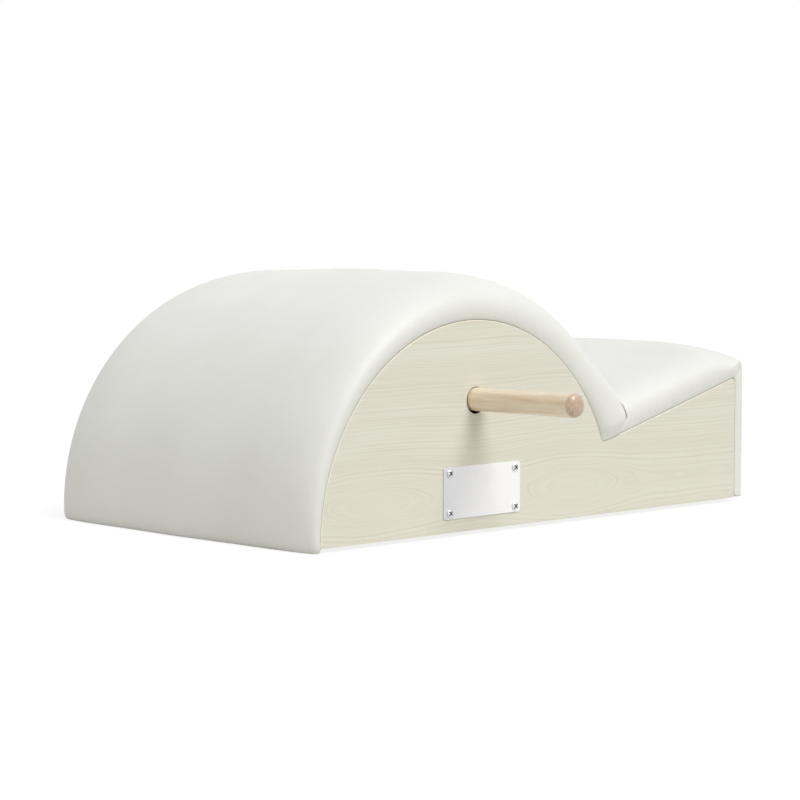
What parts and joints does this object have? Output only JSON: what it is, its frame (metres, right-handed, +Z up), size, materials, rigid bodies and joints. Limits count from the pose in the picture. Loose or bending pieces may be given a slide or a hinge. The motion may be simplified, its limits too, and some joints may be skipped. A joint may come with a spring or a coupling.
{
  "type": "pilates spine corrector",
  "caption": "Padded arch for the back that runs down into a padded seat ramp, on a boxed wooden body with pull-out round handles at the sides and a bare nameplate.",
  "frame": {"origin": "under the middle of the whole object, on the floor", "axes": "+Z up; +X from the arch pad to the raised end of the ramp; -Y towards the side with the nameplate"},
  "size_m": [0.8982, 0.9, 0.3539],
  "materials": {
    "laminate": "satin, pale maple-look laminate",
    "plywood": "sanded birch plywood",
    "beech": "turned and varnished",
    "leather": "soft white upholstery leather",
    "foam": "open-cell upholstery foam",
    "steel": "plain zinc-plated screw steel",
    "nameplate": "satin sheet, bare",
    "rubber": "matt moulded"
  },
  "bodies": {
    "body": {"side_panel_front": "laminate", "side_frame_front": "plywood", "valley_batten_front": "plywood", "crown_batten_front": "plywood", "handle_socket_front": "beech", "panel_screw_front_1": "steel", "panel_screw_front_2": "steel", "panel_screw_front_3": "steel", "panel_screw_front_4": "steel", "side_panel_back": "laminate", "side_frame_back": "plywood", "valley_batten_back": "plywood", "crown_batten_back": "plywood", "handle_socket_back": "beech", "panel_screw_back_1": "steel", "panel_screw_back_2": "steel", "panel_screw_back_3": "steel", "panel_screw_back_4": "steel", "centre_rib": "plywood", "arch_deck": "plywood", "ramp_deck": "plywood", "end_board": "plywood", "arch_foot_rail": "plywood", "base_board": "plywood", "arch_foam": "foam", "ramp_foam": "foam", "end_foam": "foam", "arch_cover": "leather", "ramp_cover": "leather", "end_cover": "leather", "nameplate": "nameplate", "plate_screw_1": "steel", "foot_1": "rubber", "foot_screw_1": "steel", "plate_screw_2": "steel", "foot_2": "rubber", "foot_screw_2": "steel", "plate_screw_3": "steel", "foot_3": "rubber", "foot_screw_3": "steel", "plate_screw_4": "steel", "foot_4": "rubber", "foot_screw_4": "steel"},
    "handle_front": {"handle_front": "beech"},
    "handle_back": {"handle_back": "beech"}
  },
  "joints": [
    {"name": "handle_front_slide", "type": "slide", "parent": "body", "child": "handle_front", "axis": [0, -1, 0], "range_m": [0, 0.1]},
    {"name": "handle_back_slide", "type": "slide", "parent": "body", "child": "handle_back", "axis": [0, 1, 0], "range_m": [0, 0.1]}
  ]
}
